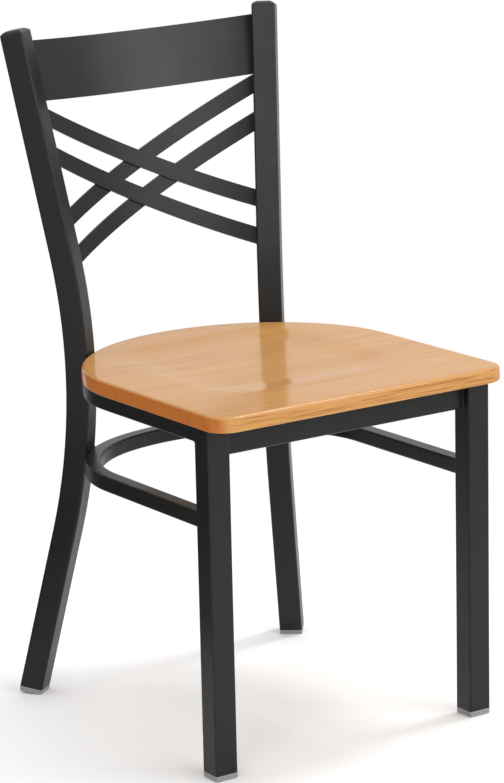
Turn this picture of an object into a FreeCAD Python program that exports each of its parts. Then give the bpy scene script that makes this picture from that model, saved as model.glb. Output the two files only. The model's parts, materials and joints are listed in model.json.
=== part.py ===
import FreeCAD, Part
import math
import os

# Cross back dining chair: steel tube frame, crossed slats in the back, wooden seat.
# Sizes are in millimetres. X runs to the right, Y to the back and Z up, and left
# and right are as seen from the front. While the chair is built, Y = 0 is the front
# face of the front legs at the seat. In the end the origin is on the floor, at the
# middle of the chair's width and depth.

# Square tube of the front legs and the back posts
TUBE = 29.5
TUBE_WALL = 1.6
TUBE_CORNER = 2.5

# Square tube of the seat ring and the lower stretcher
RING_TUBE = 19.0
RING_WALL = 1.5
RING_CORNER = 2.5

# Wooden seat
SEAT_UNDERSIDE = 420.0
SEAT_THICKNESS = 18.0
SEAT_WIDTH = 401.0
SEAT_OVERHANG = 32.0
SEAT_FRONT_CORNER = 27.0
SEAT_ARC_OFFSET = 10.5
SEAT_ARC_STEP = 11.2
SEAT_POST_GAP = 0.4
SEAT_TOP_ROUND = 4.5
SEAT_BOTTOM_ROUND = 2.0

# Shallow scoop in the seat
SCOOP_WIDTH = 284.0
SCOOP_LENGTH = 322.0
SCOOP_SETBACK = 85.0
SCOOP_DEPTH = 3.6
SCOOP_RIM = 56.0
SCOOP_INNER_CORNER = 20.0

# Front legs, set in from the sides of the seat
LEG_INSET = 5.5
LEG_SPACING = SEAT_WIDTH - 2 * LEG_INSET - TUBE
LEG_RAKE = 15.5

# Back posts, each bent in an upright plane that is turned about Z
POST_SPACING = 278.8
POST_SETBACK = 383.0
POST_TURN = 38.8
POST_BEND_RADIUS = 784.0
POST_BEND_HEIGHT = 422.0
POST_LEAN_UP = 10.23
POST_LEAN_DOWN = 15.45
POST_SHOULDER = 826.0

# Domed cap on each back post
CAP_HEIGHT = 6.0
CAP_EDGE = 0.8
CAP_ROUND_WIDTH = 9.5
CAP_PLUG = 12.0

# Front rail between the front legs
RAIL_HEIGHT = 36.5
RAIL_DEPTH = 16.0
RAIL_RECESS = 12.6

# Seat ring, a bent tube under the edge of the seat
RING_ARC_OFFSET = 19.4
RING_ARC_STEP = 27.3
WELD_GAP = 0.2

# Lower stretcher, a bent tube around the chair below the seat, set in from the legs' outer faces
STRETCHER_TOP = 317.0
STRETCHER_INSET = 5.5
STRETCHER_WIDTH = LEG_SPACING + TUBE - 2 * STRETCHER_INSET
STRETCHER_ARC_OFFSET = 14.5
STRETCHER_ARC_STEP = 49.0

# Bowed panel of the back, which leans more than the posts do
BOW_OUTWARD = 3.0
PANEL_DROP = 10.3
PANEL_TOP = POST_SHOULDER - PANEL_DROP
PANEL_HEIGHT = 72.9
PANEL_THICKNESS = 2.0
PANEL_BOW = 34.5
PANEL_LEAN = 12.3

# Bowed slats of the back, which lean as much as the posts do
SLAT_WIDTH = 20.0
SLAT_THICKNESS = 3.0
SLAT_LAYER_GAP = 0.3
SLAT_PANEL_GAP = 1.1
SLAT_DROP = 141.7
SLAT_PITCH = 46.6
SLAT_BOW = 37.0

# Plastic glides
GLIDE_HEIGHT = 7.0
GLIDE_FLANGE = 2.3
GLIDE_GROOVE = 0.7
GLIDE_GROOVE_DEPTH = 0.6
GLIDE_ROUND = 2.0
GLIDE_PLUG = 14.0
REAR_GLIDE_TILT = 9.0
REAR_GLIDE_FLAT = 1.0
PLUG_GAP = 0.3

# Steel tabs under the seat and the screws through them
TAB_LENGTH = 34.0
TAB_REACH = 26.0
TAB_THICKNESS = 4.0
TAB_CORNER = 5.0
FRONT_TAB_SETBACK = 75.0
REAR_TAB_ANGLE = 52.0
TAB_HOLE = 5.0
SCREW_SHANK = 4.2
SCREW_HEAD = 9.0
SCREW_HEAD_HEIGHT = 2.6
SCREW_BITE = 11.0
SCREW_TIP = 2.0
SCREW_SLOT_WIDTH = 1.0
SCREW_SLOT_LENGTH = 5.0
SCREW_SLOT_DEPTH = 1.3
PILOT_GAP = 0.1

UP = FreeCAD.Vector(0, 0, 1)
TURN = math.radians(POST_TURN)
LEAN_UP = math.radians(POST_LEAN_UP)
LEAN_DOWN = math.radians(POST_LEAN_DOWN)
GLIDE_TILT = math.radians(REAR_GLIDE_TILT)

# Left post: direction in which it leans, and direction across it to the inside
POST_OUT = FreeCAD.Vector(-math.sin(TURN), math.cos(TURN), 0)
POST_IN = FreeCAD.Vector(math.cos(TURN), math.sin(TURN), 0)
POST_BASE = FreeCAD.Vector(-POST_SPACING / 2, POST_SETBACK, 0)

# Lean of the slats, which is the lean of the posts seen from the side
SLAT_LEAN = math.degrees(math.atan(math.tan(LEAN_UP) * math.cos(TURN)))


def rounded_outline(width, depth, corner):
    """Closed wire of a rectangle with round corners, centred on the origin."""
    x = width / 2
    y = depth / 2
    diagonal = corner * (1 - math.sqrt(0.5))
    edges = []
    for turn in range(4):
        here, there = (x, y) if turn % 2 == 0 else (y, x)
        start = FreeCAD.Vector(here, there - corner, 0)
        middle = FreeCAD.Vector(here - diagonal, there - diagonal, 0)
        end = FreeCAD.Vector(here - corner, there, 0)
        line = Part.makeLine(FreeCAD.Vector(here, corner - there, 0), start)
        arc = Part.Arc(start, middle, end).toShape()
        for edge in (line, arc):
            edge.rotate(FreeCAD.Vector(0, 0, 0), UP, 90 * turn)
            edges.append(edge)
    return Part.Wire(edges)


def full_section(size, corner):
    return Part.Face(rounded_outline(size, size, corner))


def tube_section(size, wall, corner):
    inside = size - 2 * wall
    return full_section(size, corner).cut(full_section(inside, corner - wall)).Faces[0]


def frame_placement(origin, x_axis, y_axis, z_axis):
    """Placement that takes local axes to the given ones."""
    rotation = FreeCAD.Rotation(x_axis, y_axis, z_axis, "ZXY")
    return FreeCAD.Placement(origin, rotation)


def bent_bar(section, start, heading, axis, runs):
    """Sweep a section along straight runs and arcs about one bend axis."""
    profile = section.copy()
    profile.Placement = frame_placement(start, heading.cross(axis) * -1, axis, heading)
    point = start
    pieces = []
    for kind, amount, radius in runs:
        if kind == "straight":
            pieces.append(profile.extrude(heading * amount))
            profile.translate(heading * amount)
            point = point + heading * amount
        else:
            centre = point + axis.cross(heading) * radius
            pieces.append(profile.revolve(centre, axis, math.degrees(amount)))
            profile.rotate(centre, axis, math.degrees(amount))
            spin = FreeCAD.Rotation(axis, math.degrees(amount))
            point = centre + spin.multVec(point - centre)
            heading = spin.multVec(heading)
    bar = pieces[0].multiFuse(pieces[1:])
    return bar.removeSplitter().Solids[0]


def mirrored(shape):
    return shape.mirror(FreeCAD.Vector(0, 0, 0), FreeCAD.Vector(1, 0, 0))


def post_point(height):
    """Centre of the left post at a height."""
    rise = height - POST_BEND_HEIGHT
    lean = LEAN_UP if rise > 0 else LEAN_DOWN
    arc_rise = POST_BEND_RADIUS * math.sin(lean)
    if abs(rise) <= arc_rise:
        out = POST_BEND_RADIUS - math.sqrt(POST_BEND_RADIUS ** 2 - rise ** 2)
    else:
        out = POST_BEND_RADIUS * (1 - math.cos(lean)) + (abs(rise) - arc_rise) * math.tan(lean)
    return POST_BASE + POST_OUT * out + UP * height


def foot_height():
    """Height of the tube's centre at the slanted foot of a back post."""
    corner = (TUBE / 2 - GLIDE_ROUND) * math.sin(GLIDE_TILT)
    body = (GLIDE_HEIGHT - GLIDE_ROUND) * math.cos(GLIDE_TILT)
    return corner + body + GLIDE_ROUND - REAR_GLIDE_FLAT


def foot_directions():
    """Unit vectors along the tube, across the slanted end and out of it, going down."""
    along = POST_OUT * math.sin(LEAN_DOWN) - UP * math.cos(LEAN_DOWN)
    across = POST_OUT * math.cos(GLIDE_TILT) + UP * math.sin(GLIDE_TILT)
    normal = POST_OUT * math.sin(GLIDE_TILT) - UP * math.cos(GLIDE_TILT)
    return along, across, normal


def shoulder_directions():
    """Unit vectors along the top run of the left post and across it, outwards."""
    along = POST_OUT * math.sin(LEAN_UP) + UP * math.cos(LEAN_UP)
    across = POST_OUT * math.cos(LEAN_UP) - UP * math.sin(LEAN_UP)
    return along, across


def post_bar(section):
    """Left post with its slanted foot."""
    along, across, normal = foot_directions()
    upper = (POST_SHOULDER - POST_BEND_HEIGHT) / math.cos(LEAN_UP)
    upper = upper - POST_BEND_RADIUS * math.tan(LEAN_UP)
    lower = (POST_BEND_HEIGHT - foot_height()) / math.cos(LEAN_DOWN)
    lower = lower - POST_BEND_RADIUS * math.tan(LEAN_DOWN)
    start = post_point(foot_height()) + along * TUBE
    runs = [
        ("straight", lower + TUBE, 0),
        ("arc", LEAN_DOWN + LEAN_UP, POST_BEND_RADIUS),
        ("straight", upper, 0),
    ]
    bar = bent_bar(section, start, along * -1, POST_IN * -1, runs)
    below = Part.makeBox(4 * TUBE, 4 * TUBE, 4 * TUBE, FreeCAD.Vector(-2 * TUBE, -2 * TUBE, 0))
    below.Placement = frame_placement(post_point(foot_height()), POST_IN, across * -1, normal)
    return bar.cut(below).Solids[0]


def leg_run():
    """Vector from the foot of a front leg up to the seat."""
    rise = SEAT_UNDERSIDE - GLIDE_HEIGHT
    return FreeCAD.Vector(0, -rise * LEG_RAKE / SEAT_UNDERSIDE, rise)


def leg_foot():
    """Centre of the left front leg's lower end."""
    return FreeCAD.Vector(-LEG_SPACING / 2, TUBE / 2, SEAT_UNDERSIDE) - leg_run()


def leg_bar(section):
    """Left front leg from its glide up to the seat."""
    profile = section.copy()
    profile.translate(leg_foot())
    return profile.extrude(leg_run())


def bow_arcs(width, offset, step, gap, height):
    """Radii and centres of a D shaped outline whose back just clears the posts."""
    corner_radius = width / 2 - offset
    rear_radius = corner_radius + step
    face = post_point(height) - POST_OUT * (TUBE / 2)
    lead = math.sqrt(step ** 2 - offset ** 2)
    if math.sin(TURN) < offset / step:
        reach = rear_radius + gap + face.x * math.sin(TURN)
        rear_y = face.y - reach / math.cos(TURN)
        corner_y = rear_y + lead
    else:
        reach = corner_radius + gap + (face.x + offset) * math.sin(TURN)
        corner_y = face.y - reach / math.cos(TURN)
        rear_y = corner_y - lead
    return corner_radius, corner_y, rear_radius, rear_y


def bow_tube(section, width, offset, step, top):
    """Bent tube from inside one front leg around the back to the other."""
    touch = min(top - RING_CORNER, POST_BEND_HEIGHT)
    corner_radius, corner_y, rear_radius, rear_y = bow_arcs(width, offset, step, WELD_GAP, touch)
    start_y = TUBE / 2
    centre_line = width / 2 - RING_TUBE / 2
    turn = math.acos(offset / step)
    start = FreeCAD.Vector(centre_line, start_y, top - RING_TUBE / 2)
    straight = corner_y - start_y
    corner = corner_radius - RING_TUBE / 2
    rear = rear_radius - RING_TUBE / 2
    runs = [
        ("straight", straight, 0),
        ("arc", turn, corner),
        ("arc", math.pi - 2 * turn, rear),
        ("arc", turn, corner),
        ("straight", straight, 0),
    ]
    return bent_bar(section, start, FreeCAD.Vector(0, 1, 0), UP, runs)


def without_legs(shape):
    leg = leg_bar(full_section(TUBE, TUBE_CORNER))
    return shape.cut(leg).cut(mirrored(leg)).Solids[0]


def seat_outline():
    half = SEAT_WIDTH / 2
    front = -SEAT_OVERHANG
    radius = SEAT_FRONT_CORNER
    corner_radius, corner_y, rear_radius, rear_y = bow_arcs(
        SEAT_WIDTH, SEAT_ARC_OFFSET, SEAT_ARC_STEP, SEAT_POST_GAP, SEAT_UNDERSIDE)
    turn = math.acos(SEAT_ARC_OFFSET / SEAT_ARC_STEP)

    def point(x, y, distance, angle):
        return FreeCAD.Vector(x + distance * math.cos(angle), y + distance * math.sin(angle), SEAT_UNDERSIDE)

    def arc(x, y, distance, first, last):
        middle = (first + last) / 2
        ends = [point(x, y, distance, angle) for angle in (first, middle, last)]
        return Part.Arc(*ends).toShape()

    right = half - radius
    edges = [
        arc(right, front + radius, radius, -math.pi / 2, 0),
        Part.makeLine(point(half, front + radius, 0, 0), point(half, corner_y, 0, 0)),
        arc(SEAT_ARC_OFFSET, corner_y, corner_radius, 0, turn),
        arc(0, rear_y, rear_radius, turn, math.pi - turn),
        arc(-SEAT_ARC_OFFSET, corner_y, corner_radius, math.pi - turn, math.pi),
        Part.makeLine(point(-half, corner_y, 0, 0), point(-half, front + radius, 0, 0)),
        arc(-right, front + radius, radius, math.pi, 1.5 * math.pi),
        Part.makeLine(point(-right, front, 0, 0), point(right, front, 0, 0)),
    ]
    return Part.Wire(edges)


def scoop_profile():
    """Cross section of the scoop's edge: two equal tangent arcs, closed above the seat."""
    radius = (SCOOP_RIM ** 2 + SCOOP_DEPTH ** 2) / (4 * SCOOP_DEPTH)
    half_angle = math.asin(SCOOP_RIM / 2 / radius) / 2
    dip = radius * (1 - math.cos(half_angle))
    run = radius * math.sin(half_angle)
    top = FreeCAD.Vector(0, 0, 0)
    high = FreeCAD.Vector(-run, 0, -dip)
    middle = FreeCAD.Vector(-SCOOP_RIM / 2, 0, -SCOOP_DEPTH / 2)
    low = FreeCAD.Vector(run - SCOOP_RIM, 0, dip - SCOOP_DEPTH)
    floor = FreeCAD.Vector(-SCOOP_RIM, 0, -SCOOP_DEPTH)
    above = FreeCAD.Vector(-SCOOP_RIM, 0, SEAT_TOP_ROUND)
    edge = FreeCAD.Vector(0, 0, SEAT_TOP_ROUND)
    edges = [
        Part.Arc(top, high, middle).toShape(),
        Part.Arc(middle, low, floor).toShape(),
        Part.makeLine(floor, above),
        Part.makeLine(above, edge),
        Part.makeLine(edge, top),
    ]
    return Part.Face(Part.Wire(edges))


def scoop():
    """Cutter with the form of the scoop, flat in the middle and soft at the rim."""
    corner = SCOOP_RIM + SCOOP_INNER_CORNER
    surface = SEAT_UNDERSIDE + SEAT_THICKNESS
    centre_y = SCOOP_SETBACK - SEAT_OVERHANG + SCOOP_LENGTH / 2
    flat_width = SCOOP_WIDTH - 2 * SCOOP_RIM
    flat_length = SCOOP_LENGTH - 2 * SCOOP_RIM
    flat = Part.Face(rounded_outline(flat_width, flat_length, SCOOP_INNER_CORNER))
    flat.translate(FreeCAD.Vector(0, 0, -SCOOP_DEPTH))
    pieces = [flat.extrude(UP * (SCOOP_DEPTH + SEAT_TOP_ROUND))]
    for turn in range(4):
        across = SCOOP_WIDTH if turn % 2 == 0 else SCOOP_LENGTH
        along = SCOOP_LENGTH if turn % 2 == 0 else SCOOP_WIDTH
        side = along / 2 - corner
        profile = scoop_profile()
        profile.translate(FreeCAD.Vector(across / 2, -side, 0))
        straight = profile.extrude(FreeCAD.Vector(0, 2 * side, 0))
        profile.translate(FreeCAD.Vector(0, 2 * side, 0))
        pivot = FreeCAD.Vector(across / 2 - corner, side, 0)
        rounded = profile.revolve(pivot, UP, 90)
        for piece in (straight, rounded):
            piece.rotate(FreeCAD.Vector(0, 0, 0), UP, 90 * turn)
            pieces.append(piece)
    cutter = pieces[0].multiFuse(pieces[1:]).removeSplitter()
    cutter.translate(FreeCAD.Vector(0, centre_y, surface))
    return cutter


def make_seat():
    board = Part.Face(seat_outline()).extrude(UP * SEAT_THICKNESS)
    top = SEAT_UNDERSIDE + SEAT_THICKNESS
    upper = [edge for edge in board.Edges if edge.BoundBox.ZMin > top - SEAT_BOTTOM_ROUND]
    board = board.makeFillet(SEAT_TOP_ROUND, upper)
    lower = [edge for edge in board.Edges if edge.BoundBox.ZMax < SEAT_UNDERSIDE + SEAT_BOTTOM_ROUND]
    board = board.makeFillet(SEAT_BOTTOM_ROUND, lower)
    board = board.cut(scoop())
    for place in screw_places():
        pilot = Part.makeCylinder(SCREW_SHANK / 2 + PILOT_GAP, SCREW_BITE + PILOT_GAP, place)
        board = board.cut(pilot)
    return board.Solids[0]


def tab_frames():
    """Middle of each tab's welded edge and the direction that the tab points in."""
    width = LEG_SPACING + TUBE
    touch = SEAT_UNDERSIDE - RING_CORNER
    corner_radius, corner_y, rear_radius, rear_y = bow_arcs(
        width, RING_ARC_OFFSET, RING_ARC_STEP, WELD_GAP, touch)
    angle = math.radians(REAR_TAB_ANGLE)
    inner = rear_radius - RING_TUBE
    frames = []
    for side in (-1, 1):
        front = FreeCAD.Vector(side * (width / 2 - RING_TUBE), FRONT_TAB_SETBACK, SEAT_UNDERSIDE)
        frames.append((front, FreeCAD.Vector(-side, 0, 0)))
        inward = FreeCAD.Vector(-side * math.cos(angle), -math.sin(angle), 0)
        rear = FreeCAD.Vector(0, rear_y, SEAT_UNDERSIDE) - inward * inner
        frames.append((rear, inward))
    return frames


def screw_places():
    return [edge + inward * (TAB_REACH / 2) for edge, inward in tab_frames()]


def make_tab(edge, inward):
    """Steel plate welded to the inside of the seat ring, with a screw hole."""
    length = TAB_REACH + RING_TUBE / 2
    plate = Part.Face(rounded_outline(length, TAB_LENGTH, TAB_CORNER)).extrude(UP * -TAB_THICKNESS)
    sideways = UP.cross(inward)
    middle = edge + inward * (TAB_REACH - length / 2)
    plate.Placement = frame_placement(middle, inward, sideways, UP)
    hole = Part.makeCylinder(TAB_HOLE / 2, TAB_THICKNESS, edge + inward * (TAB_REACH / 2), UP * -1)
    square = Part.makePlane(RING_TUBE, RING_TUBE, FreeCAD.Vector(-RING_TUBE / 2, -RING_TUBE / 2, 0))
    width = LEG_SPACING + TUBE
    block = bow_tube(square, width, RING_ARC_OFFSET, RING_ARC_STEP, SEAT_UNDERSIDE)
    return plate.cut(hole).cut(block).Solids[0]


def make_screw(place):
    """Pan head screw that points up, with its threaded shank plain."""
    seat_level = place - UP * TAB_THICKNESS
    head_top = SCREW_HEAD / 2
    shank = SCREW_SHANK / 2
    neck = TAB_THICKNESS + SCREW_BITE - SCREW_TIP
    points = [
        FreeCAD.Vector(0, 0, -SCREW_HEAD_HEIGHT),
        FreeCAD.Vector(head_top - SCREW_HEAD_HEIGHT / 2, 0, -SCREW_HEAD_HEIGHT),
        FreeCAD.Vector(head_top, 0, -SCREW_HEAD_HEIGHT / 2),
        FreeCAD.Vector(head_top, 0, 0),
        FreeCAD.Vector(shank, 0, 0),
        FreeCAD.Vector(shank, 0, neck),
        FreeCAD.Vector(0, 0, neck + SCREW_TIP),
        FreeCAD.Vector(0, 0, -SCREW_HEAD_HEIGHT),
    ]
    outline = Part.Face(Part.makePolygon(points))
    screw = outline.revolve(FreeCAD.Vector(0, 0, 0), UP, 360)
    for angle in (0, 90):
        corner = FreeCAD.Vector(-SCREW_SLOT_LENGTH / 2, -SCREW_SLOT_WIDTH / 2, -SCREW_HEAD_HEIGHT)
        slot = Part.makeBox(SCREW_SLOT_LENGTH, SCREW_SLOT_WIDTH, SCREW_SLOT_DEPTH, corner)
        slot.rotate(FreeCAD.Vector(0, 0, 0), UP, angle)
        screw = screw.cut(slot)
    screw.translate(seat_level)
    return screw.Solids[0]


def make_front_rail():
    """Rectangular tube between the front legs, set back from their front faces."""
    length = LEG_SPACING - TUBE
    outer = Part.Face(rounded_outline(RAIL_DEPTH, RAIL_HEIGHT, RING_CORNER))
    inner = Part.Face(rounded_outline(
        RAIL_DEPTH - 2 * RING_WALL, RAIL_HEIGHT - 2 * RING_WALL, RING_CORNER - RING_WALL))
    rail = outer.cut(inner).Faces[0].extrude(UP * length)
    start = FreeCAD.Vector(-length / 2, RAIL_RECESS + RAIL_DEPTH / 2, SEAT_UNDERSIDE - RAIL_HEIGHT / 2)
    rail.Placement = frame_placement(start, FreeCAD.Vector(0, 1, 0), UP, FreeCAD.Vector(1, 0, 0))
    return rail.Solids[0]


def cap_vault(turned):
    """Bar with the cap's rounded profile, along one side of the post or the other."""
    half = TUBE / 2
    flat = half - CAP_ROUND_WIDTH
    rise = CAP_HEIGHT - CAP_EDGE
    radius = (CAP_ROUND_WIDTH ** 2 + rise ** 2) / (2 * rise)
    swing = math.atan2(CAP_ROUND_WIDTH, radius - rise) / 2
    middle_x = flat + radius * math.sin(swing)
    middle_z = CAP_HEIGHT - radius * (1 - math.cos(swing))
    low_left = FreeCAD.Vector(-half, -half, 0)
    low_right = FreeCAD.Vector(half, -half, 0)
    side_right = FreeCAD.Vector(half, -half, CAP_EDGE)
    side_left = FreeCAD.Vector(-half, -half, CAP_EDGE)
    top_right = FreeCAD.Vector(flat, -half, CAP_HEIGHT)
    top_left = FreeCAD.Vector(-flat, -half, CAP_HEIGHT)
    edges = [
        Part.makeLine(low_left, low_right),
        Part.makeLine(low_right, side_right),
        Part.Arc(side_right, FreeCAD.Vector(middle_x, -half, middle_z), top_right).toShape(),
        Part.makeLine(top_right, top_left),
        Part.Arc(top_left, FreeCAD.Vector(-middle_x, -half, middle_z), side_left).toShape(),
        Part.makeLine(side_left, low_left),
    ]
    bar = Part.Face(Part.Wire(edges)).extrude(FreeCAD.Vector(0, TUBE, 0))
    bar.rotate(FreeCAD.Vector(0, 0, 0), UP, 90 if turned else 0)
    return bar


def plug_section():
    return full_section(TUBE - 2 * TUBE_WALL - 2 * PLUG_GAP, TUBE_CORNER - TUBE_WALL)


def make_cap():
    """Domed cap on the left post, with a plug inside the tube."""
    along, across = shoulder_directions()
    dome = cap_vault(False).common(cap_vault(True))
    dome = dome.common(full_section(TUBE, TUBE_CORNER).extrude(UP * CAP_HEIGHT))
    cap = dome.fuse(plug_section().extrude(UP * -CAP_PLUG))
    cap.Placement = frame_placement(post_point(POST_SHOULDER), POST_IN, across, along)
    return cap.Solids[0]


def lean_directions(lean):
    """Unit vectors up along the leaning back and square to it, to the rear."""
    angle = math.radians(lean)
    up = FreeCAD.Vector(0, math.sin(angle), math.cos(angle))
    rear = FreeCAD.Vector(0, math.cos(angle), -math.sin(angle))
    return up, rear


def post_face(height):
    """Middle of the left post's inner face at a height."""
    return post_point(height) + POST_IN * (TUBE / 2)


def bow_end(lean, middle, height):
    """Where a bowed sheet meets the post, if it leans about its end at the middle height."""
    rear = lean_directions(lean)[1]
    pivot = post_face(middle) + POST_OUT * BOW_OUTWARD
    face = post_face(height)
    return face + POST_OUT * ((pivot - face).dot(rear) / POST_OUT.dot(rear))


def bow_section(end, lean, bow, inner, outer):
    """Outline of a bowed layer through its left end, square to the lean of the back."""
    up, rear = lean_directions(lean)
    half = -end.x
    radius = (half ** 2 + bow ** 2) / (2 * bow)
    centre = rear * (end.dot(rear) + bow - radius) + up * end.dot(up)
    swing = math.atan2(half, radius - bow) + TUBE / 3 / radius

    def point(distance, angle):
        sideways = FreeCAD.Vector(math.sin(angle), 0, 0)
        return centre + (sideways + rear * math.cos(angle)) * distance

    near = radius + inner
    far = radius + outer
    return Part.Wire([
        Part.Arc(point(near, -swing), point(near, 0), point(near, swing)).toShape(),
        Part.makeLine(point(near, swing), point(far, swing)),
        Part.Arc(point(far, swing), point(far, 0), point(far, -swing)).toShape(),
        Part.makeLine(point(far, -swing), point(near, -swing)),
    ])


def bow_layer(low, high, lean, bow, inner, outer):
    """Bowed sheet between two heights that follows the spread of the posts."""
    middle = (low + high) / 2
    ends = [bow_end(lean, middle, height) for height in (low, high)]
    sections = [bow_section(end, lean, bow, inner, outer) for end in ends]
    return Part.makeLoft(sections, True, True)


def between_posts(shape):
    post = post_bar(full_section(TUBE, TUBE_CORNER))
    trimmed = shape.cut(post).cut(mirrored(post))
    return max(trimmed.Solids, key=lambda solid: solid.Volume)


def make_top_rail():
    half = PANEL_THICKNESS / 2
    low = PANEL_TOP - PANEL_HEIGHT
    return between_posts(bow_layer(low, PANEL_TOP, PANEL_LEAN, PANEL_BOW, -half, half))


def slat_heights(level):
    """Heights of the upper and lower end of a slat, counted down from the top rail."""
    below = PANEL_TOP - PANEL_HEIGHT - SLAT_PANEL_GAP
    run = -post_face(below).x - post_face(below - SLAT_DROP).x
    half_height = SLAT_WIDTH / 2 * math.hypot(1, SLAT_DROP / run)
    upper = below - half_height - level * SLAT_PITCH
    return upper, upper - SLAT_DROP


def make_slat(level, rear_layer):
    """Flat bar from high on one post to low on the other, in the front or rear layer."""
    upper, lower = slat_heights(level)
    rear = lean_directions(SLAT_LEAN)[1]
    start = bow_end(SLAT_LEAN, upper, upper)
    end = bow_end(SLAT_LEAN, upper, lower)
    end.x = -end.x
    direction = (end - start).normalize()
    length = (end - start).Length + 2 * TUBE
    depth = SLAT_BOW + 2 * TUBE
    strip = Part.makeBox(length, depth, SLAT_WIDTH, FreeCAD.Vector(-length / 2, -TUBE, -SLAT_WIDTH / 2))
    strip.Placement = frame_placement((start + end) * 0.5, direction, rear, direction.cross(rear))
    if rear_layer:
        strip = mirrored(strip)
    inner = SLAT_LAYER_GAP / 2 if rear_layer else -SLAT_LAYER_GAP / 2 - SLAT_THICKNESS
    top = PANEL_TOP - PANEL_HEIGHT - SLAT_PANEL_GAP
    bottom = slat_heights(1)[1] - SLAT_WIDTH
    layer = bow_layer(bottom, top, SLAT_LEAN, SLAT_BOW, inner, inner + SLAT_THICKNESS)
    return between_posts(layer.common(strip))


def glide_stack():
    """Visible part of a glide, pointing away from the tube along +Z."""
    flange = full_section(TUBE, TUBE_CORNER).extrude(UP * GLIDE_FLANGE)
    waist = full_section(TUBE - 2 * GLIDE_GROOVE_DEPTH, TUBE_CORNER).extrude(UP * (GLIDE_FLANGE + GLIDE_GROOVE))
    start = GLIDE_FLANGE + GLIDE_GROOVE
    foot = full_section(TUBE, TUBE_CORNER).extrude(UP * (GLIDE_HEIGHT - start))
    foot.translate(UP * start)
    rim = [edge for edge in foot.Edges if edge.BoundBox.ZMin > GLIDE_HEIGHT - GLIDE_ROUND / 2]
    foot = foot.makeFillet(GLIDE_ROUND, rim)
    return flange.multiFuse([waist, foot])


def make_glide(end, x_axis, y_axis, normal, inward):
    """Glide with its plug in the end of a tube, cut flat on the floor."""
    stack = glide_stack()
    stack.Placement = frame_placement(end, x_axis, y_axis, normal)
    plug = plug_section()
    plug.Placement = frame_placement(end, x_axis, y_axis, normal)
    glide = stack.fuse(plug.extrude(inward * GLIDE_PLUG))
    corner = FreeCAD.Vector(end.x - TUBE, end.y - TUBE, -TUBE)
    glide = glide.cut(Part.makeBox(2 * TUBE, 2 * TUBE, TUBE, corner))
    return glide.removeSplitter().Solids[0]


def make_front_glide():
    x_axis = FreeCAD.Vector(1, 0, 0)
    y_axis = FreeCAD.Vector(0, -1, 0)
    along = leg_run() * (1 / leg_run().z)
    return make_glide(leg_foot(), x_axis, y_axis, UP * -1, along)


def make_rear_glide():
    along, across, normal = foot_directions()
    return make_glide(post_point(foot_height()), POST_IN, across * -1, normal, along * -1)


def make_parts():
    leg_section = tube_section(TUBE, TUBE_WALL, TUBE_CORNER)
    ring_section = tube_section(RING_TUBE, RING_WALL, RING_CORNER)
    leg = leg_bar(leg_section)
    post = post_bar(leg_section)
    cap = make_cap()
    front_glide = make_front_glide()
    rear_glide = make_rear_glide()
    ring = bow_tube(ring_section, LEG_SPACING + TUBE, RING_ARC_OFFSET, RING_ARC_STEP, SEAT_UNDERSIDE)
    stretcher = bow_tube(
        ring_section, STRETCHER_WIDTH, STRETCHER_ARC_OFFSET, STRETCHER_ARC_STEP, STRETCHER_TOP)
    tabs = [make_tab(edge, inward) for edge, inward in tab_frames()]
    return {
        "seat": make_seat(),
        "front_leg_left": leg,
        "front_leg_right": mirrored(leg),
        "rear_post_left": post,
        "rear_post_right": mirrored(post),
        "post_cap_left": cap,
        "post_cap_right": mirrored(cap),
        "front_rail": make_front_rail(),
        "seat_ring": without_legs(ring),
        "lower_stretcher": without_legs(stretcher),
        "top_rail": make_top_rail(),
        "slat_front_upper": make_slat(0, False),
        "slat_front_lower": make_slat(1, False),
        "slat_rear_upper": make_slat(0, True),
        "slat_rear_lower": make_slat(1, True),
        "front_glide_left": front_glide,
        "front_glide_right": mirrored(front_glide),
        "rear_glide_left": rear_glide,
        "rear_glide_right": mirrored(rear_glide),
        "seat_tab_front_left": tabs[0],
        "seat_tab_rear_left": tabs[1],
        "seat_tab_front_right": tabs[2],
        "seat_tab_rear_right": tabs[3],
        "seat_screws": Part.makeCompound([make_screw(place) for place in screw_places()]),
    }


def export_parts(parts):
    """Move the origin under the middle of the chair and write one file per part."""
    box = Part.makeCompound(list(parts.values())).optimalBoundingBox(False)
    shift = FreeCAD.Vector(0, -(box.YMin + box.YMax) / 2, 0)
    os.makedirs("parts", exist_ok=True)
    for name, shape in parts.items():
        shape.translate(shift)
        shape.exportStep("parts/" + name + ".step")
        size = shape.optimalBoundingBox(False)
        print(name, len(shape.Solids), "valid" if shape.isValid() else "not valid",
              round(shape.Volume / 1000, 2), "cm3,",
              "x", round(size.XMin, 2), round(size.XMax, 2),
              "y", round(size.YMin, 2), round(size.YMax, 2),
              "z", round(size.ZMin, 2), round(size.ZMax, 2))
    print("width", round(box.XLength, 2), "depth", round(box.YLength, 2), "height", round(box.ZLength, 2),
          "shift", round(shift.y, 3))


export_parts(make_parts())
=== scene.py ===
import json
import math

import bpy
from mathutils import Matrix, Vector
from mathutils.bvhtree import BVHTree


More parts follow.
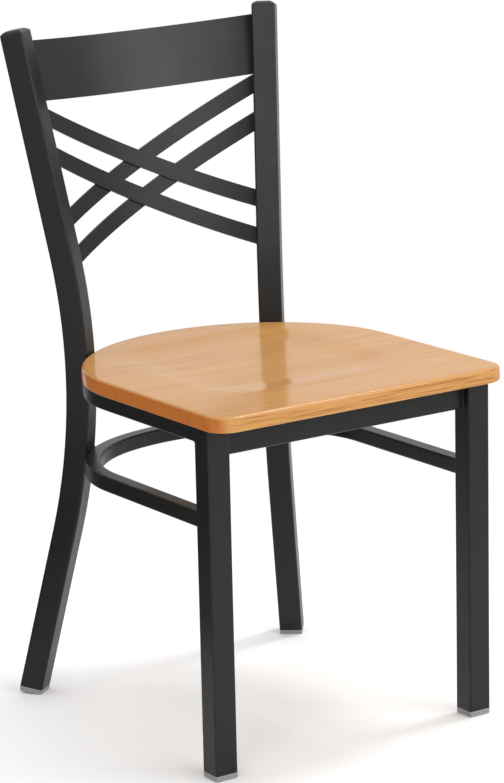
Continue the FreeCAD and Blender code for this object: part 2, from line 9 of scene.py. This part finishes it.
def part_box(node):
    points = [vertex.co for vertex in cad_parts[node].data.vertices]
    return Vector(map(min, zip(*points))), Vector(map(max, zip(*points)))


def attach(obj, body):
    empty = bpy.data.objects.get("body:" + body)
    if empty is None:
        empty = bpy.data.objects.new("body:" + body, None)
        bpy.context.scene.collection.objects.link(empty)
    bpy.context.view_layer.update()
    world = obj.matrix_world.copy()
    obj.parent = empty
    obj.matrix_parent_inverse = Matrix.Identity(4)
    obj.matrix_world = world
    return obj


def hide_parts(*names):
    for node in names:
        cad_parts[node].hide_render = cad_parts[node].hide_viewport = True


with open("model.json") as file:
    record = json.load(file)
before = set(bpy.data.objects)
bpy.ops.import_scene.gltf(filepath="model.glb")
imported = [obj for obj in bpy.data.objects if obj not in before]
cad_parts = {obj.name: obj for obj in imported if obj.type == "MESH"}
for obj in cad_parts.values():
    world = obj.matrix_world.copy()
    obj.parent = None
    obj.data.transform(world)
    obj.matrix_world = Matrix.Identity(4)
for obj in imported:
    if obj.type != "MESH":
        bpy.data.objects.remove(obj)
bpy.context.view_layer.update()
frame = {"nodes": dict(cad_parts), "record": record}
nodes = frame["nodes"]

# Camera, solved from the straight edges of the chair in the photo. Degrees and metres, lens in millimetres
CAMERA_PLACE = (-2.05644, -3.29933, 1.30243)
CAMERA_AZIMUTH = -32.0
CAMERA_ELEVATION = 13.15
CAMERA_ROLL = -2.48
CAMERA_LENS = 152.7
CAMERA_SENSOR = 36.0
CAMERA_REACH = 50

# Wooden seat
SEAT_FRONT_CORNER = 0.027
SEAT_ARC_OFFSET = 0.0105
SEAT_ARC_STEP = 0.0112
SEAT_TOP_ROUND = 0.0045
SEAT_BOTTOM_ROUND = 0.002
SCOOP_WIDTH = 0.284
SCOOP_LENGTH = 0.322
SCOOP_SETBACK = 0.085
SCOOP_DEPTH = 0.0036
SCOOP_RIM = 0.056
SCOOP_INNER_CORNER = 0.020
STAVE_WIDTH = 0.062
EDGE_STEP = 0.006
SAME_POINT = 0.00001
BOTTOM_MARGIN = 0.001
CORNER_STEPS = 14
SHOULDER_STEPS = 16
REAR_STEPS = 120
ROUND_STEPS = 8
BOTTOM_STEPS = 4
TOP_RINGS = 52

# Steel frame. The slope is the front legs' rake over the height of the seat's underside
POST_TURN = 38.8
TUBE = 0.0295
LEG_SLOPE = 15.5 / 420
BACK_PIECES = ("top_rail", "slat_front_upper", "slat_front_lower", "slat_rear_upper", "slat_rear_lower")
WELD_RADIUS = 0.0016
WELD_PITCH = 0.0015
WELD_SEED = 7
WELD_UNDER_SEAT = 0.0006
WELD_BELOW_RING_TOP = 0.0015
WELD_ON_STRETCHER = 0.011
FACE_MARGIN = 0.0025
PLANE_REACH = 0.0001
TAB_REACH = 0.0002
TAB_LEVEL = 0.0005

# Colours in linear light
COAT_DARK = (0.0048, 0.0048, 0.0050, 1)
COAT_LIGHT = (0.0078, 0.0078, 0.0081, 1)
COAT_DUST = (0.055, 0.055, 0.055, 1)
WOOD_LIGHT = (0.550, 0.290, 0.090, 1)
WOOD_DARK = (0.41, 0.180, 0.046, 1)
WOOD_PORE = (0.24, 0.085, 0.02, 1)
# Dark streaks of the upright faces: partly grain, partly painted shade that darkens the edges
WOOD_STREAK_AND_SHADE = (0.235, 0.088, 0.020, 1)
END_LIGHT = (0.47, 0.130, 0.012, 1)
END_DARK = (0.39, 0.100, 0.008, 1)
NYLON_DARK = (0.225, 0.225, 0.23, 1)
NYLON_LIGHT = (0.275, 0.275, 0.28, 1)
NYLON_SCUFF = (0.16, 0.155, 0.15, 1)
ZINC_WARM = (0.66, 0.65, 0.60, 1)
ZINC_COOL = (0.56, 0.58, 0.62, 1)
FLOOR_COLOUR = (0.97, 0.97, 0.97, 1)
CARD_COLOUR = (0.09, 0.09, 0.09, 1)
WHITE = (1, 1, 1, 1)

# Studio
FLOOR_SIZE = 16.0
FLOOR_SHADOW_FROM = 0.45
FLOOR_SHADOW_TO = 1.3
WORLD_LIGHT = 0.78
CHAIR_MIDDLE = (0, 0, 0.7)
SEAT_MIDDLE = (0, 0, 0.4)


# Camera

def make_camera():
    turn = math.radians(CAMERA_AZIMUTH)
    lift = math.radians(CAMERA_ELEVATION)
    roll = math.radians(CAMERA_ROLL)
    right = Vector((math.cos(turn), math.sin(turn), 0))
    back = Vector((math.sin(turn) * math.cos(lift), -math.cos(turn) * math.cos(lift), math.sin(lift)))
    up = back.cross(right)
    across = right * math.cos(roll) + up * math.sin(roll)
    upward = up * math.cos(roll) - right * math.sin(roll)
    data = bpy.data.cameras.new("camera")
    data.lens = CAMERA_LENS
    data.sensor_width = CAMERA_SENSOR
    data.clip_end = CAMERA_REACH
    camera = bpy.data.objects.new("camera", data)
    matrix = Matrix((across, upward, back)).transposed().to_4x4()
    matrix.translation = Vector(CAMERA_PLACE)
    camera.matrix_world = matrix
    bpy.context.scene.collection.objects.link(camera)
    bpy.context.scene.camera = camera


# Helpers for node trees

def put(tree, kind, inputs=None, **settings):
    """New node with its settings; an input is a value, or a socket to be linked."""
    node = tree.nodes.new(kind)
    for name, value in settings.items():
        setattr(node, name, value)
    for name, value in (inputs or {}).items():
        if isinstance(value, bpy.types.NodeSocket):
            tree.links.new(value, node.inputs[name])
        else:
            node.inputs[name].default_value = value
    return node


def calc(tree, operation, first, second=0.0, clamp=False):
    return put(tree, "ShaderNodeMath", {0: first, 1: second}, operation=operation, use_clamp=clamp).outputs[0]


def shifted(tree, place, offset):
    return put(tree, "ShaderNodeVectorMath", {0: place, 1: offset}, operation="ADD").outputs[0]


def stretched(tree, place, scale):
    """Coordinates scaled along each axis."""
    return put(tree, "ShaderNodeVectorMath", {0: place, 1: scale}, operation="MULTIPLY").outputs[0]


def noise(tree, place, scale, detail=2.0, roughness=0.5, distortion=0.0):
    inputs = {
        "Vector": place, "Scale": scale, "Detail": detail, "Roughness": roughness, "Distortion": distortion,
    }
    return put(tree, "ShaderNodeTexNoise", inputs).outputs["Fac"]


def remap(tree, value, from_low, from_high, to_low, to_high, smooth=False):
    inputs = {
        "Value": value, "From Min": from_low, "From Max": from_high, "To Min": to_low, "To Max": to_high,
    }
    kind = "SMOOTHSTEP" if smooth else "LINEAR"
    return put(tree, "ShaderNodeMapRange", inputs, interpolation_type=kind).outputs[0]


def blend_colours(tree, amount, first, second, mode="MIX"):
    inputs = {0: amount, 6: first, 7: second}
    return put(tree, "ShaderNodeMix", inputs, data_type="RGBA", blend_type=mode).outputs[2]


def bump(tree, height, distance, strength, normal=None):
    inputs = {"Height": height, "Distance": distance, "Strength": strength}
    if normal is not None:
        inputs["Normal"] = normal
    return put(tree, "ShaderNodeBump", inputs).outputs[0]


def new_material(name):
    material = bpy.data.materials.new(name)
    material.use_nodes = True
    tree = material.node_tree
    place = tree.nodes.new("ShaderNodeTexCoord").outputs["Object"]
    return material, tree, tree.nodes["Principled BSDF"], place


# Finishes

def satin_black_coat():
    """Powder coat: orange peel, a slight cloudiness in its sheen and fine dust."""
    material, tree, shader, place = new_material("satin_black_coat")
    peel = noise(tree, place, 1100, 1.5, 0.4)
    waves = noise(tree, place, 160, 2.0)
    cloud = noise(tree, place, 16, 4.0, 0.6)
    dust = noise(tree, place, 5200, 0.0)
    specks = remap(tree, dust, 0.74, 0.80, 0.0, 1.0)
    base = blend_colours(tree, cloud, COAT_DARK, COAT_LIGHT)
    base = blend_colours(tree, calc(tree, "MULTIPLY", specks, 0.35), base, COAT_DUST)
    rough = remap(tree, cloud, 0.3, 0.7, 0.33, 0.41)
    rough = calc(tree, "ADD", rough, remap(tree, peel, 0.3, 0.7, -0.03, 0.03))
    normal = bump(tree, waves, 0.0004, 0.06)
    normal = bump(tree, peel, 0.00012, 0.22, normal)
    tree.links.new(base, shader.inputs["Base Color"])
    tree.links.new(rough, shader.inputs["Roughness"])
    tree.links.new(normal, shader.inputs["Normal"])
    shader.inputs["Specular IOR Level"].default_value = 0.30
    return material


def lacquered_wood():
    """Staves glued side by side, with the grain from side to side, under a satin lacquer."""
    material, tree, shader, place = new_material("lacquered_wood")
    axes = put(tree, "ShaderNodeSeparateXYZ", {0: place})
    stave = calc(tree, "FLOOR", calc(tree, "DIVIDE", axes.outputs["Y"], STAVE_WIDTH))
    chance = put(tree, "ShaderNodeTexWhiteNoise", {"W": stave}, noise_dimensions="1D")
    plank = shifted(tree, place, stretched(tree, chance.outputs["Color"], (3.0, 0.9, 0.4)))

    fibre = noise(tree, stretched(tree, plank, (5.0, 150.0, 150.0)), 1.0, 7.0, 0.62, 0.2)
    broad = noise(tree, stretched(tree, plank, (2.2, 26.0, 26.0)), 1.0, 3.0, 0.5, 0.6)
    bent = shifted(tree, stretched(tree, plank, (0.25, 1.0, 1.0)), (0.0, 0.07, 0.21))
    rings = put(tree, "ShaderNodeTexWave", {
        "Vector": bent, "Scale": 42.0, "Distortion": 5.0,
        "Detail": 3.0, "Detail Scale": 1.6, "Detail Roughness": 0.55,
    }, wave_type="RINGS", rings_direction="X", wave_profile="SAW").outputs["Fac"]
    pores = noise(tree, stretched(tree, plank, (60.0, 1700.0, 1700.0)), 1.0, 1.0)
    pores = remap(tree, pores, 0.66, 0.74, 0.0, 1.0)

    tone = calc(tree, "ADD", calc(tree, "MULTIPLY", fibre, 0.24), calc(tree, "MULTIPLY", broad, 0.48))
    tone = calc(tree, "ADD", tone, calc(tree, "MULTIPLY", rings, 0.10))
    tone = calc(tree, "ADD", tone, remap(tree, chance.outputs["Value"], 0.0, 1.0, -0.03, 0.03))
    tone = remap(tree, tone, 0.14, 0.68, 0.0, 1.0)
    colour = blend_colours(tree, tone, WOOD_LIGHT, WOOD_DARK)
    colour = blend_colours(tree, calc(tree, "MULTIPLY", pores, 0.25), colour, WOOD_PORE)

    facing = put(tree, "ShaderNodeSeparateXYZ", {0: tree.nodes["Texture Coordinate"].outputs["Normal"]})
    sideways = calc(tree, "POWER", calc(tree, "ABSOLUTE", facing.outputs["X"]), 1.6)
    end_grain = remap(tree, sideways, 0.15, 0.75, 0.0, 1.0, True)
    pores = calc(tree, "MULTIPLY", pores, calc(tree, "SUBTRACT", 1.0, end_grain))
    dots = noise(tree, stretched(tree, plank, (60.0, 900.0, 900.0)), 1.0, 3.0, 0.6)
    end_colour = blend_colours(tree, remap(tree, dots, 0.1, 0.9, 0.0, 1.0), END_LIGHT, END_DARK)
    colour = blend_colours(tree, calc(tree, "MULTIPLY", end_grain, 0.9), colour, end_colour)
    # Painted shade and grain: dark streaks go only on upright faces, the front edge most, keeping them darker
    # than the top against the front light
    upright = remap(tree, calc(tree, "ABSOLUTE", facing.outputs["Z"]), 0.2, 0.9, 1.0, 0.0, True)
    streak_and_shade = noise(tree, stretched(tree, place, (9.0, 260.0, 420.0)), 1.0, 4.0, 0.6, 0.4)
    streak_and_shade = remap(tree, streak_and_shade, 0.52, 0.66, 0.0, 0.8)
    colour = blend_colours(tree, calc(tree, "MULTIPLY", upright, streak_and_shade), colour, WOOD_STREAK_AND_SHADE)

    rough = remap(tree, fibre, 0.3, 0.7, 0.42, 0.55)
    grain_height = calc(tree, "SUBTRACT", calc(tree, "MULTIPLY", fibre, 0.5), pores)
    normal = bump(tree, grain_height, 0.00008, 0.25)
    film = noise(tree, place, 45, 3.0, 0.5)
    film_normal = bump(tree, film, 0.0006, 0.05)
    tree.links.new(colour, shader.inputs["Base Color"])
    tree.links.new(rough, shader.inputs["Roughness"])
    tree.links.new(normal, shader.inputs["Normal"])
    tree.links.new(film_normal, shader.inputs["Coat Normal"])
    shader.inputs["Specular IOR Level"].default_value = 0.05
    shader.inputs["Coat Weight"].default_value = 0.50
    shader.inputs["Coat Roughness"].default_value = 0.13
    return material


def moulded_grey_plastic():
    """Nylon of the glides: fine mould texture, and scuffs towards the floor."""
    material, tree, shader, place = new_material("moulded_grey_plastic")
    grain = noise(tree, place, 1500, 2.0)
    cloud = noise(tree, place, 90, 3.0)
    height = put(tree, "ShaderNodeSeparateXYZ", {0: place}).outputs["Z"]
    low = remap(tree, height, 0.0, 0.0022, 1.0, 0.0)
    wear = noise(tree, stretched(tree, place, (400, 400, 60)), 1.0, 4.0)
    scuff = calc(tree, "MULTIPLY", low, remap(tree, wear, 0.4, 0.6, 0.2, 0.9))
    colour = blend_colours(tree, cloud, NYLON_DARK, NYLON_LIGHT)
    colour = blend_colours(tree, calc(tree, "MULTIPLY", scuff, 0.45), colour, NYLON_SCUFF)
    rough = remap(tree, cloud, 0.3, 0.7, 0.42, 0.52)
    normal = bump(tree, grain, 0.0001, 0.2)
    tree.links.new(colour, shader.inputs["Base Color"])
    tree.links.new(rough, shader.inputs["Roughness"])
    tree.links.new(normal, shader.inputs["Normal"])
    return material


def zinc_plate():
    """Bright zinc with a cloudy, slightly yellow passivation."""
    material, tree, shader, place = new_material("zinc_plate")
    cloud = noise(tree, place, 260, 4.0, 0.6)
    lines = noise(tree, stretched(tree, place, (300, 300, 4000)), 1.0, 2.0)
    colour = blend_colours(tree, cloud, ZINC_WARM, ZINC_COOL)
    rough = remap(tree, lines, 0.3, 0.7, 0.24, 0.40)
    normal = bump(tree, lines, 0.00005, 0.3)
    tree.links.new(colour, shader.inputs["Base Color"])
    tree.links.new(rough, shader.inputs["Roughness"])
    tree.links.new(normal, shader.inputs["Normal"])
    shader.inputs["Metallic"].default_value = 1.0
    return material


def paint_cad(looks):
    slots = {part["node"]: part["material_slot"] for part in frame["record"]["subparts"]}
    for name, node in nodes.items():
        for place in node.material_slots:
            place.material = looks[slots[name]]


# Seat

def fill_run(edge, target):
    """Points added along the straight run from the edge's last point to a target; gives its length."""
    gap = (target - edge[-1][0]).length
    runs = int(gap / EDGE_STEP)
    for run in range(1, runs):
        edge.append((edge[-1][0].lerp(target, 1 / (runs - run + 1)), edge[-1][1]))
    return gap


def seat_edge():
    """Points around the seat's edge with their outward directions."""
    low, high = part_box("seat")
    half = high.x
    corner = half - SEAT_ARC_OFFSET
    rear = corner + SEAT_ARC_STEP
    rear_y = high.y - rear
    corner_y = rear_y + math.sqrt(SEAT_ARC_STEP ** 2 - SEAT_ARC_OFFSET ** 2)
    turn = math.acos(SEAT_ARC_OFFSET / SEAT_ARC_STEP)
    front_x = half - SEAT_FRONT_CORNER
    front_y = low.y + SEAT_FRONT_CORNER
    arcs = [
        (front_x, front_y, SEAT_FRONT_CORNER, -math.pi / 2, 0, CORNER_STEPS),
        (SEAT_ARC_OFFSET, corner_y, corner, 0, turn, SHOULDER_STEPS),
        (0, rear_y, rear, turn, math.pi - turn, REAR_STEPS),
        (-SEAT_ARC_OFFSET, corner_y, corner, math.pi - turn, math.pi, SHOULDER_STEPS),
        (-front_x, front_y, SEAT_FRONT_CORNER, math.pi, 1.5 * math.pi, CORNER_STEPS),
    ]
    edge = []
    for x, y, radius, first, last, steps in arcs:
        for step in range(steps + 1):
            angle = first + (last - first) * step / steps
            out = Vector((math.cos(angle), math.sin(angle)))
            point = Vector((x, y)) + out * radius
            if edge and step == 0 and fill_run(edge, point) < SAME_POINT:
                continue
            edge.append((point, out))
    fill_run(edge, edge[0][0])
    return edge


def scoop_depth(x, y, front):
    """Depth of the scoop below the seat's flat top."""
    corner = SCOOP_RIM + SCOOP_INNER_CORNER
    centre_y = front + SCOOP_SETBACK + SCOOP_LENGTH / 2
    side = max(abs(x) - (SCOOP_WIDTH / 2 - corner), 0)
    along = max(abs(y - centre_y) - (SCOOP_LENGTH / 2 - corner), 0)
    inside = (corner - math.hypot(side, along)) / SCOOP_RIM
    inside = min(max(inside, 0), 1)
    return SCOOP_DEPTH * inside * inside * (3 - 2 * inside)


def make_seat(look):
    """Seat board with rounded edges and a smooth scoop, in place of the plain solid."""
    low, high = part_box("seat")
    edge = seat_edge()
    centre = Vector((0, (low.y + high.y) / 2))
    vertices = []
    profile = [(SEAT_BOTTOM_ROUND + BOTTOM_MARGIN, low.z)]
    for step in range(BOTTOM_STEPS + 1):
        angle = math.pi / 2 * step / BOTTOM_STEPS
        inset = SEAT_BOTTOM_ROUND * (1 - math.sin(angle))
        profile.append((inset, low.z + SEAT_BOTTOM_ROUND * (1 - math.cos(angle))))
    profile.append((0, (low.z + high.z) / 2))
    for step in range(ROUND_STEPS + 1):
        angle = math.pi / 2 * step / ROUND_STEPS
        inset = SEAT_TOP_ROUND * (1 - math.cos(angle))
        profile.append((inset, high.z - SEAT_TOP_ROUND * (1 - math.sin(angle))))
    for inset, height in profile:
        for point, out in edge:
            place = point - out * inset
            vertices.append((place.x, place.y, height))
    for ring in range(1, TOP_RINGS):
        share = ring / TOP_RINGS
        for point, out in edge:
            place = (point - out * SEAT_TOP_ROUND).lerp(centre, share)
            vertices.append((place.x, place.y, high.z - scoop_depth(place.x, place.y, low.y)))
    count = len(edge)
    bands = len(profile) + TOP_RINGS - 1
    faces = []
    for band in range(bands - 1):
        for here in range(count):
            there = (here + 1) % count
            first = band * count
            faces.append((first + here, first + there, first + count + there, first + count + here))
    top = len(vertices)
    vertices.append((centre.x, centre.y, high.z - scoop_depth(centre.x, centre.y, low.y)))
    bottom = len(vertices)
    vertices.append((centre.x, centre.y, low.z))
    last = (bands - 1) * count
    for here in range(count):
        there = (here + 1) % count
        faces.append((last + here, last + there, top))
        faces.append((there, here, bottom))
    mesh = bpy.data.meshes.new("seat_board")
    mesh.from_pydata(vertices, [], faces)
    mesh.polygons.foreach_set("use_smooth", [True] * len(mesh.polygons))
    mesh.materials.append(look)
    mesh.update()
    board = bpy.data.objects.new("seat_board", mesh)
    bpy.context.scene.collection.objects.link(board)
    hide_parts("seat")
    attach(board, "root")


# Welds

def node_points(name):
    return [vertex.co.copy() for vertex in nodes[name].data.vertices]


def surface_tree(name):
    mesh = nodes[name].data
    corners = [vertex.co.copy() for vertex in mesh.vertices]
    return BVHTree.FromPolygons(corners, [list(face.vertices) for face in mesh.polygons])


def hull_loop(points, normal):
    """Corners of the flat outline around points that lie in one plane."""
    normal = Vector(normal).normalized()
    side = normal.orthogonal().normalized()
    over = normal.cross(side)
    flat = sorted({(round(p.dot(side), 6), round(p.dot(over), 6)) for p in points})
    if len(flat) < 3:
        return []
    depth = sum(p.dot(normal) for p in points) / len(points)

    def turns_left(start, middle, end):
        along = (middle[0] - start[0]) * (end[1] - start[1])
        return along > (middle[1] - start[1]) * (end[0] - start[0])

    def half(sequence):
        chain = []
        for p in sequence:
            while len(chain) > 1 and not turns_left(chain[-2], chain[-1], p):
                chain.pop()
            chain.append(p)
        return chain[:-1]

    loop = half(flat) + half(flat[::-1])
    return [side * a + over * b + normal * depth for a, b in loop]


def contact_loop(name, normal, level):
    """Outline of a piece's end where it meets the plane of its neighbour."""
    normal = Vector(normal)
    points = [p for p in node_points(name) if abs(p.dot(normal) - level) < PLANE_REACH]
    return hull_loop(points, normal)


def open_below(loop, ceiling):
    """Paths left of a closed loop when its runs above a height are taken away."""
    if not loop:
        return []
    closed = loop + [loop[0]]
    paths = []
    path = []
    for start, end in zip(closed, closed[1:]):
        if start.z > ceiling and end.z > ceiling:
            if path:
                paths.append(path)
            path = []
            continue
        if not path:
            path = [start]
        path.append(end)
    if path:
        paths.append(path)
    return paths


def welded_ends():
    """Paths around the ends of tubes, slats and panel where they meet a leg or a post."""
    turn = math.radians(POST_TURN)
    under_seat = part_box("seat")[0].z - WELD_UNDER_SEAT
    paths = []
    for side, word in ((-1, "left"), (1, "right")):
        inward = Vector((-side * math.cos(turn), math.sin(turn), 0))
        level = max(p.dot(inward) for p in node_points("rear_post_" + word))
        for name in BACK_PIECES:
            loop = contact_loop(name, inward, level)
            paths.append(loop + [loop[0]])
        back = Vector((0, 1, LEG_SLOPE)).normalized()
        level = max(p.dot(back) for p in node_points("front_leg_" + word))
        for name in ("seat_ring", "lower_stretcher"):
            ends = [p for p in node_points(name) if abs(p.dot(back) - level) < PLANE_REACH and p.x * side > 0]
            paths += open_below(hull_loop(ends, back), under_seat)
        across = Vector((side, 0, 0))
        level = max(p.dot(across) for p in node_points("front_rail"))
        paths += open_below(contact_loop("front_rail", across, level), under_seat)
    return paths


def welded_touches():
    """Paths on the posts' front faces where the two bent tubes touch them."""
    turn = math.radians(POST_TURN)
    reach = TUBE / 2 - FACE_MARGIN
    ring_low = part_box("seat_ring")[0].z
    ring_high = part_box("seat_ring")[1].z
    stretcher_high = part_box("lower_stretcher")[1].z
    paths = []
    for side, word in ((-1, "left"), (1, "right")):
        inward = Vector((-side * math.cos(turn), math.sin(turn), 0))
        outward = Vector((side * math.sin(turn), math.cos(turn), 0))
        levels = [p.dot(inward) for p in node_points("rear_post_" + word)]
        middle = (min(levels) + max(levels)) / 2
        post = surface_tree("rear_post_" + word)

        def on_face(offset, height):
            start = inward * (middle + offset) - outward + Vector((0, 0, height))
            return post.ray_cast(start, outward)[0]

        ring_end = ring_high - WELD_BELOW_RING_TOP
        stretcher_end = stretcher_high - WELD_ON_STRETCHER
        for level, end in ((ring_low, ring_end), (stretcher_high, stretcher_end)):
            corners = [(-reach, end), (-reach, level), (0, level), (reach, level), (reach, end)]
            paths.append([on_face(offset, height) for offset, height in corners])
    return paths


def welded_tabs():
    """Paths under the seat tabs, where they meet the inside of the ring."""
    ring = surface_tree("seat_ring")
    paths = []
    for name in nodes:
        if not name.startswith("seat_tab"):
            continue
        points = [p for p in node_points(name) if ring.find_nearest(p)[3] < TAB_REACH]
        lowest = min(p.z for p in points)
        low = [p for p in points if p.z < lowest + TAB_LEVEL]
        first = max(low, key=lambda p: max((p - q).length for q in low))
        low.sort(key=lambda p: (p - first).length)
        paths.append(low)
    return paths


def weld_tree(look):
    """Nodes that lay a rippled bead of weld along every path."""
    tree = bpy.data.node_groups.new("weld_bead", "GeometryNodeTree")
    face = tree.interface
    face.new_socket("Geometry", in_out="INPUT", socket_type="NodeSocketGeometry")
    for name, value in (("Pitch", WELD_PITCH), ("Radius", WELD_RADIUS)):
        socket = face.new_socket(name, in_out="INPUT", socket_type="NodeSocketFloat")
        socket.default_value = value
    seed = face.new_socket("Seed", in_out="INPUT", socket_type="NodeSocketInt")
    seed.default_value = WELD_SEED
    face.new_socket("Geometry", in_out="OUTPUT", socket_type="NodeSocketGeometry")
    given = tree.nodes.new("NodeGroupInput")
    line = put(tree, "GeometryNodeMeshToCurve", {"Mesh": given.outputs["Geometry"]})
    along = {"Curve": line.outputs[0], "Length": given.outputs["Pitch"]}
    spots = put(tree, "GeometryNodeCurveToPoints", along, mode="LENGTH")
    drop = put(tree, "GeometryNodeMeshIcoSphere", {"Radius": given.outputs["Radius"], "Subdivisions": 2})
    spread = {2: 0.86, 3: 1.12, "Seed": given.outputs["Seed"]}
    size = put(tree, "FunctionNodeRandomValue", spread, data_type="FLOAT")
    long = put(tree, "ShaderNodeCombineXYZ", {"X": size.outputs[1], "Y": size.outputs[1], "Z": 0.9})
    beads = put(tree, "GeometryNodeInstanceOnPoints", {
        "Points": spots.outputs["Points"], "Instance": drop.outputs["Mesh"],
        "Rotation": spots.outputs["Rotation"], "Scale": long.outputs[0],
    })
    real = put(tree, "GeometryNodeRealizeInstances", {0: beads.outputs[0]})
    smooth = put(tree, "GeometryNodeSetShadeSmooth", {0: real.outputs[0]})
    painted = put(tree, "GeometryNodeSetMaterial", {0: smooth.outputs[0]})
    painted.inputs["Material"].default_value = look
    result = tree.nodes.new("NodeGroupOutput")
    tree.links.new(painted.outputs[0], result.inputs[0])
    return tree


def make_welds(look):
    paths = welded_ends() + welded_touches() + welded_tabs()
    vertices = []
    edges = []
    for path in paths:
        edges += [(len(vertices) + step, len(vertices) + step + 1) for step in range(len(path) - 1)]
        vertices += [tuple(point) for point in path]
    lines = bpy.data.meshes.new("weld_paths")
    lines.from_pydata(vertices, edges, [])
    holder = bpy.data.objects.new("weld_paths", lines)
    bpy.context.scene.collection.objects.link(holder)
    modifier = holder.modifiers.new("weld_bead", "NODES")
    modifier.node_group = weld_tree(look)
    bpy.context.view_layer.update()
    graph = bpy.context.evaluated_depsgraph_get()
    mesh = bpy.data.meshes.new_from_object(holder.evaluated_get(graph))
    mesh.name = "weld_beads"
    bpy.data.objects.remove(holder)
    beads = bpy.data.objects.new("weld_beads", mesh)
    bpy.context.scene.collection.objects.link(beads)
    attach(beads, "root")


# Studio

def seen_directly(tree):
    """1 for what the camera, a reflection or glass shows, 0 for light on the object."""
    path = tree.nodes.new("ShaderNodeLightPath")
    seen = path.outputs["Is Camera Ray"]
    for name in ("Is Glossy Ray", "Is Transmission Ray"):
        seen = calc(tree, "MAXIMUM", seen, path.outputs[name])
    return seen


def make_world():
    world = bpy.data.worlds.new("studio")
    bpy.context.scene.world = world
    world.use_nodes = True
    tree = world.node_tree
    tree.nodes.clear()
    soft = put(tree, "ShaderNodeBackground", {"Color": WHITE, "Strength": WORLD_LIGHT})
    white = put(tree, "ShaderNodeBackground", {"Color": WHITE, "Strength": 1.0})
    mix = put(tree, "ShaderNodeMixShader", {0: seen_directly(tree), 1: soft.outputs[0], 2: white.outputs[0]})
    put(tree, "ShaderNodeOutputWorld", {0: mix.outputs[0]})


def area_light(name, place, target, size, power):
    data = bpy.data.lights.new(name, "AREA")
    data.shape = "RECTANGLE"
    data.size, data.size_y = size
    data.energy = power
    lamp = bpy.data.objects.new(name, data)
    lamp.location = place
    lamp.rotation_euler = (Vector(target) - Vector(place)).to_track_quat("-Z", "Y").to_euler()
    bpy.context.scene.collection.objects.link(lamp)


def make_floor():
    """Pale floor that takes the shadow near the chair and turns plain white further out."""
    half = FLOOR_SIZE / 2
    mesh = bpy.data.meshes.new("floor")
    corners = [(-half, -half, 0), (half, -half, 0), (half, half, 0), (-half, half, 0)]
    mesh.from_pydata(corners, [], [(0, 1, 2, 3)])
    floor = bpy.data.objects.new("floor", mesh)
    bpy.context.scene.collection.objects.link(floor)
    material, tree, shader, place = new_material("pale_floor")
    shader.inputs["Base Color"].default_value = FLOOR_COLOUR
    shader.inputs["Roughness"].default_value = 0.9
    shader.inputs["Specular IOR Level"].default_value = 0.1
    distance = put(tree, "ShaderNodeVectorMath", {0: place}, operation="LENGTH").outputs["Value"]
    fade = remap(tree, distance, FLOOR_SHADOW_FROM, FLOOR_SHADOW_TO, 0.0, 1.0, True)
    white = put(tree, "ShaderNodeEmission", {"Color": WHITE, "Strength": 1.0})
    share = calc(tree, "MULTIPLY", seen_directly(tree), fade)
    mix = put(tree, "ShaderNodeMixShader", {0: share, 1: shader.outputs[0], 2: white.outputs[0]})
    tree.links.new(mix.outputs[0], tree.nodes["Material Output"].inputs["Surface"])
    mesh.materials.append(material)


def dark_card(name, start, end, height):
    """Upright dark card beside the chair, which only reflections show."""
    corners = [(*start, 0), (*end, 0), (*end, height), (*start, height)]
    mesh = bpy.data.meshes.new(name)
    mesh.from_pydata(corners, [], [(0, 1, 2, 3)])
    card = bpy.data.objects.new(name, mesh)
    bpy.context.scene.collection.objects.link(card)
    material, tree, shader, place = new_material(name)
    shader.inputs["Base Color"].default_value = CARD_COLOUR
    shader.inputs["Roughness"].default_value = 0.9
    mesh.materials.append(material)
    card.visible_camera = False
    card.visible_diffuse = False
    card.visible_transmission = False
    card.visible_shadow = False


make_camera()
looks = {
    "black_frame": satin_black_coat(),
    "seat_wood": lacquered_wood(),
    "grey_glide": moulded_grey_plastic(),
    "screw_steel": zinc_plate(),
}
looks["black_cap"] = looks["black_frame"]
paint_cad(looks)
make_seat(looks["seat_wood"])
make_welds(looks["black_frame"])
make_world()
area_light("front_softbox", (0.9, -2.9, 1.6), CHAIR_MIDDLE, (3.0, 1.1), 48)
area_light("left_softbox", (-2.6, -2.2, 1.7), CHAIR_MIDDLE, (1.2, 1.1), 18)
area_light("top_softbox", (0.6, 0.3, 3.0), SEAT_MIDDLE, (2.6, 2.6), 18)
area_light("edge_softbox", (1.35, -0.25, 2.95), SEAT_MIDDLE, (0.4, 0.6), 22)
make_floor()
dark_card("rear_card", (-1.05, 0.10), (-0.15, 0.75), 0.8)
dark_card("low_card_left", (-0.72, -0.10), (-0.27, 0.38), 0.24)
bpy.context.scene.view_settings.view_transform = "Standard"
